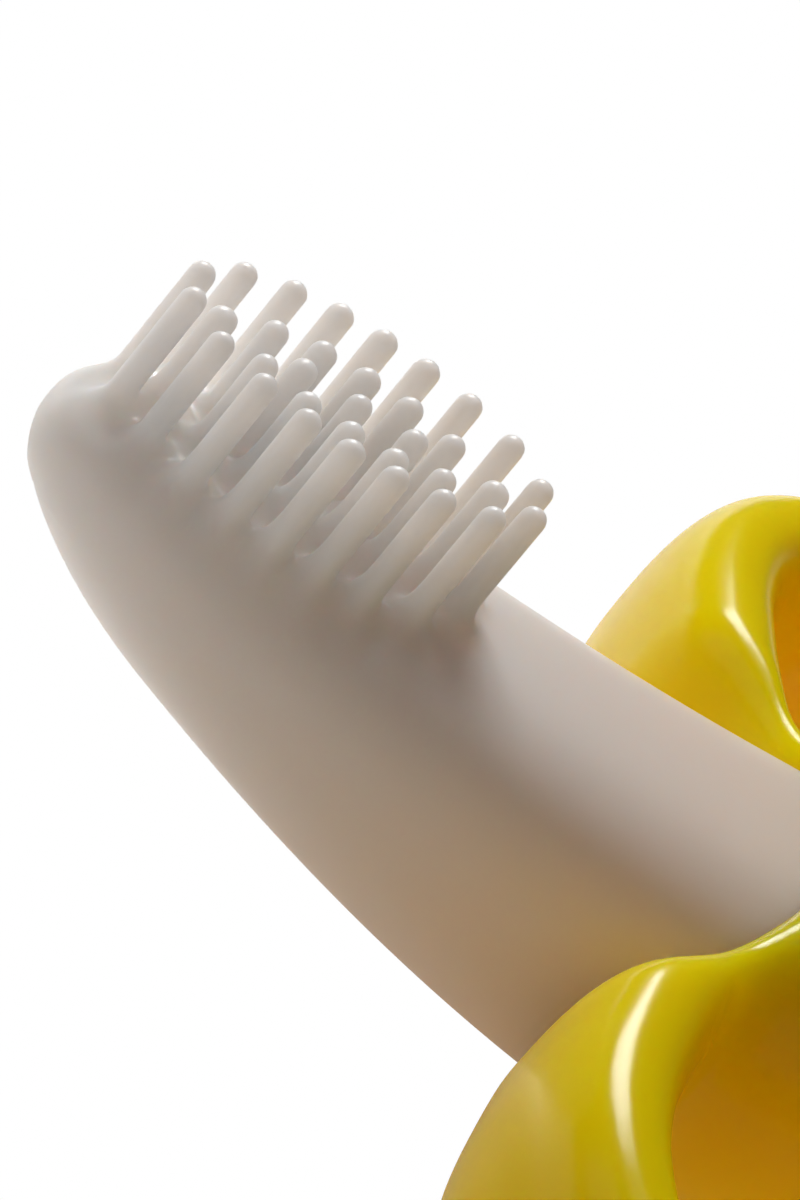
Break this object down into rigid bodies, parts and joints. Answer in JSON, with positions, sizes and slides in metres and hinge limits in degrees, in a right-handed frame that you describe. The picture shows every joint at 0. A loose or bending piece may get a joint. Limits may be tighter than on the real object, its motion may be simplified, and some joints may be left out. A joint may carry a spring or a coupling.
{
  "type": "finger toothbrush",
  "caption": "Banana-shaped moulded silicone training toothbrush: white head with soft parallel bristles, yellow body with a finger loop on each side.",
  "frame": {"origin": "bottom centre of the whole brush, lying on its back", "axes": "+Y towards the bristled tip, +Z the way the bristles point, X across the two finger loops"},
  "size_m": [0.0856, 0.1099, 0.0218],
  "materials": {
    "white_silicone": "satin translucent",
    "bristle_silicone": "satin translucent",
    "yellow_silicone": "glossy translucent"
  },
  "bodies": {
    "root": {"brush_core": "white_silicone", "outer_bristles": "bristle_silicone", "inner_bristles": "bristle_silicone", "centre_bristles": "bristle_silicone", "banana_body": "yellow_silicone", "left_peel_loop": "yellow_silicone", "right_peel_loop": "yellow_silicone"}
  },
  "joints": []
}
